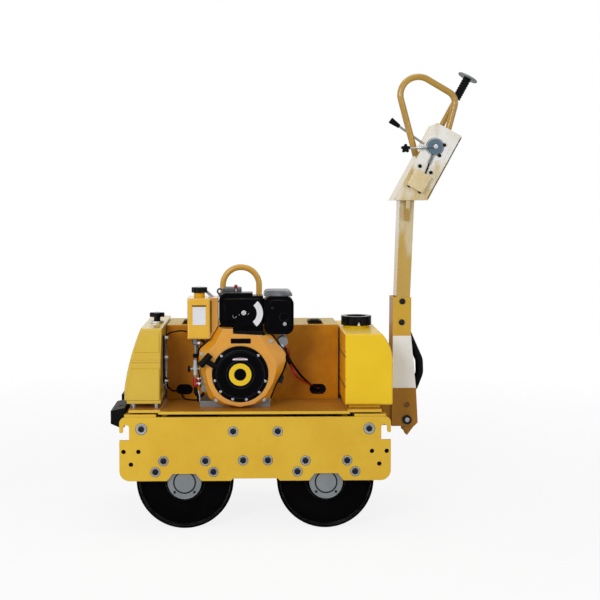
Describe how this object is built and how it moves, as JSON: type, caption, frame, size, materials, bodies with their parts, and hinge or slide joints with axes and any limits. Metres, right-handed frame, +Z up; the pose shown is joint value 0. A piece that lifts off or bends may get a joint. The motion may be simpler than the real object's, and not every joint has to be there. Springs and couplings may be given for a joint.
{
  "type": "walk-behind double-drum vibratory roller",
  "caption": "Walk-behind road roller: smooth steel drums under a side-plate frame, an air-cooled engine, water and oil tanks, and a drawbar folded upright.",
  "frame": {"origin": "on the ground, midway between the two drum axles and between the side plates", "axes": "+X towards the operator's end and the drawbar, +Y away from the engine side, +Z up"},
  "size_m": [1.6574, 0.7, 2.0328],
  "materials": {
    "frame_paint": "satin",
    "engine_paint": "gloss",
    "tank_plastic": "satin",
    "drum_steel": "satin",
    "black_steel": "gloss",
    "black_plastic": "satin",
    "black_rubber": "matte",
    "bare_steel": "satin",
    "cast_metal": "satin"
  },
  "bodies": {
    "chassis": {"air_cleaner": "black_plastic", "bumpers": "black_rubber", "cover": "frame_paint", "cylinder_head": "cast_metal", "deck": "frame_paint", "engine_base": "bare_steel", "engine_block": "cast_metal", "engine_cables": "black_rubber", "engine_shroud": "engine_paint", "front_beam": "frame_paint", "front_tank": "frame_paint", "fuel_cap": "black_plastic", "fuel_tank": "engine_paint", "hinge_bracket": "frame_paint", "hub_carrier_front_left": "frame_paint", "hub_carrier_front_right": "frame_paint", "hub_carrier_rear_left": "frame_paint", "hub_carrier_rear_right": "frame_paint", "hub_front_left": "bare_steel", "hub_front_right": "bare_steel", "hub_rear_left": "bare_steel", "hub_rear_right": "bare_steel", "injection_pump": "cast_metal", "isolators": "black_rubber", "lifting_hoop": "frame_paint", "mid_beam": "frame_paint", "muffler": "black_steel", "muffler_guard": "cast_metal", "pivot_pin": "black_steel", "rear_beam": "frame_paint", "rear_tank": "tank_plastic", "recoil_starter": "black_steel", "scrapers": "black_steel", "side_plate_left": "frame_paint", "side_plate_right": "frame_paint", "starter_cable": "black_rubber", "starter_grip": "black_plastic", "starter_motor": "cast_metal", "tank_cap": "black_plastic", "tank_feet": "bare_steel", "tank_lid": "black_plastic", "tank_tray": "frame_paint"},
    "front_drum": {"front_drum": "drum_steel"},
    "rear_drum": {"rear_drum": "drum_steel"},
    "handle": {"drawbar_base": "frame_paint", "drawbar_column": "frame_paint", "console": "frame_paint", "hand_loop": "frame_paint", "push_rod": "frame_paint", "push_grip": "black_rubber", "stop_disc": "bare_steel", "travel_lever": "bare_steel", "travel_knob": "black_plastic", "throttle_dial": "bare_steel", "throttle_lever": "bare_steel", "throttle_knob": "black_plastic", "junction_box": "frame_paint", "control_hoses": "black_rubber", "throttle_cable": "black_rubber"}
  },
  "joints": [
    {"name": "front_drum_spin", "type": "hinge", "parent": "chassis", "child": "front_drum", "pos_m": [-0.3075, 0, 0.2125], "axis": [0, 1, 0], "continuous": true},
    {"name": "rear_drum_spin", "type": "hinge", "parent": "chassis", "child": "rear_drum", "pos_m": [0.3075, 0, 0.2125], "axis": [0, 1, 0], "continuous": true},
    {"name": "drawbar_fold", "type": "hinge", "parent": "chassis", "child": "handle", "pos_m": [0.6974, 0, 0.432], "axis": [0, 1, 0], "range_deg": [0, 65]}
  ]
}
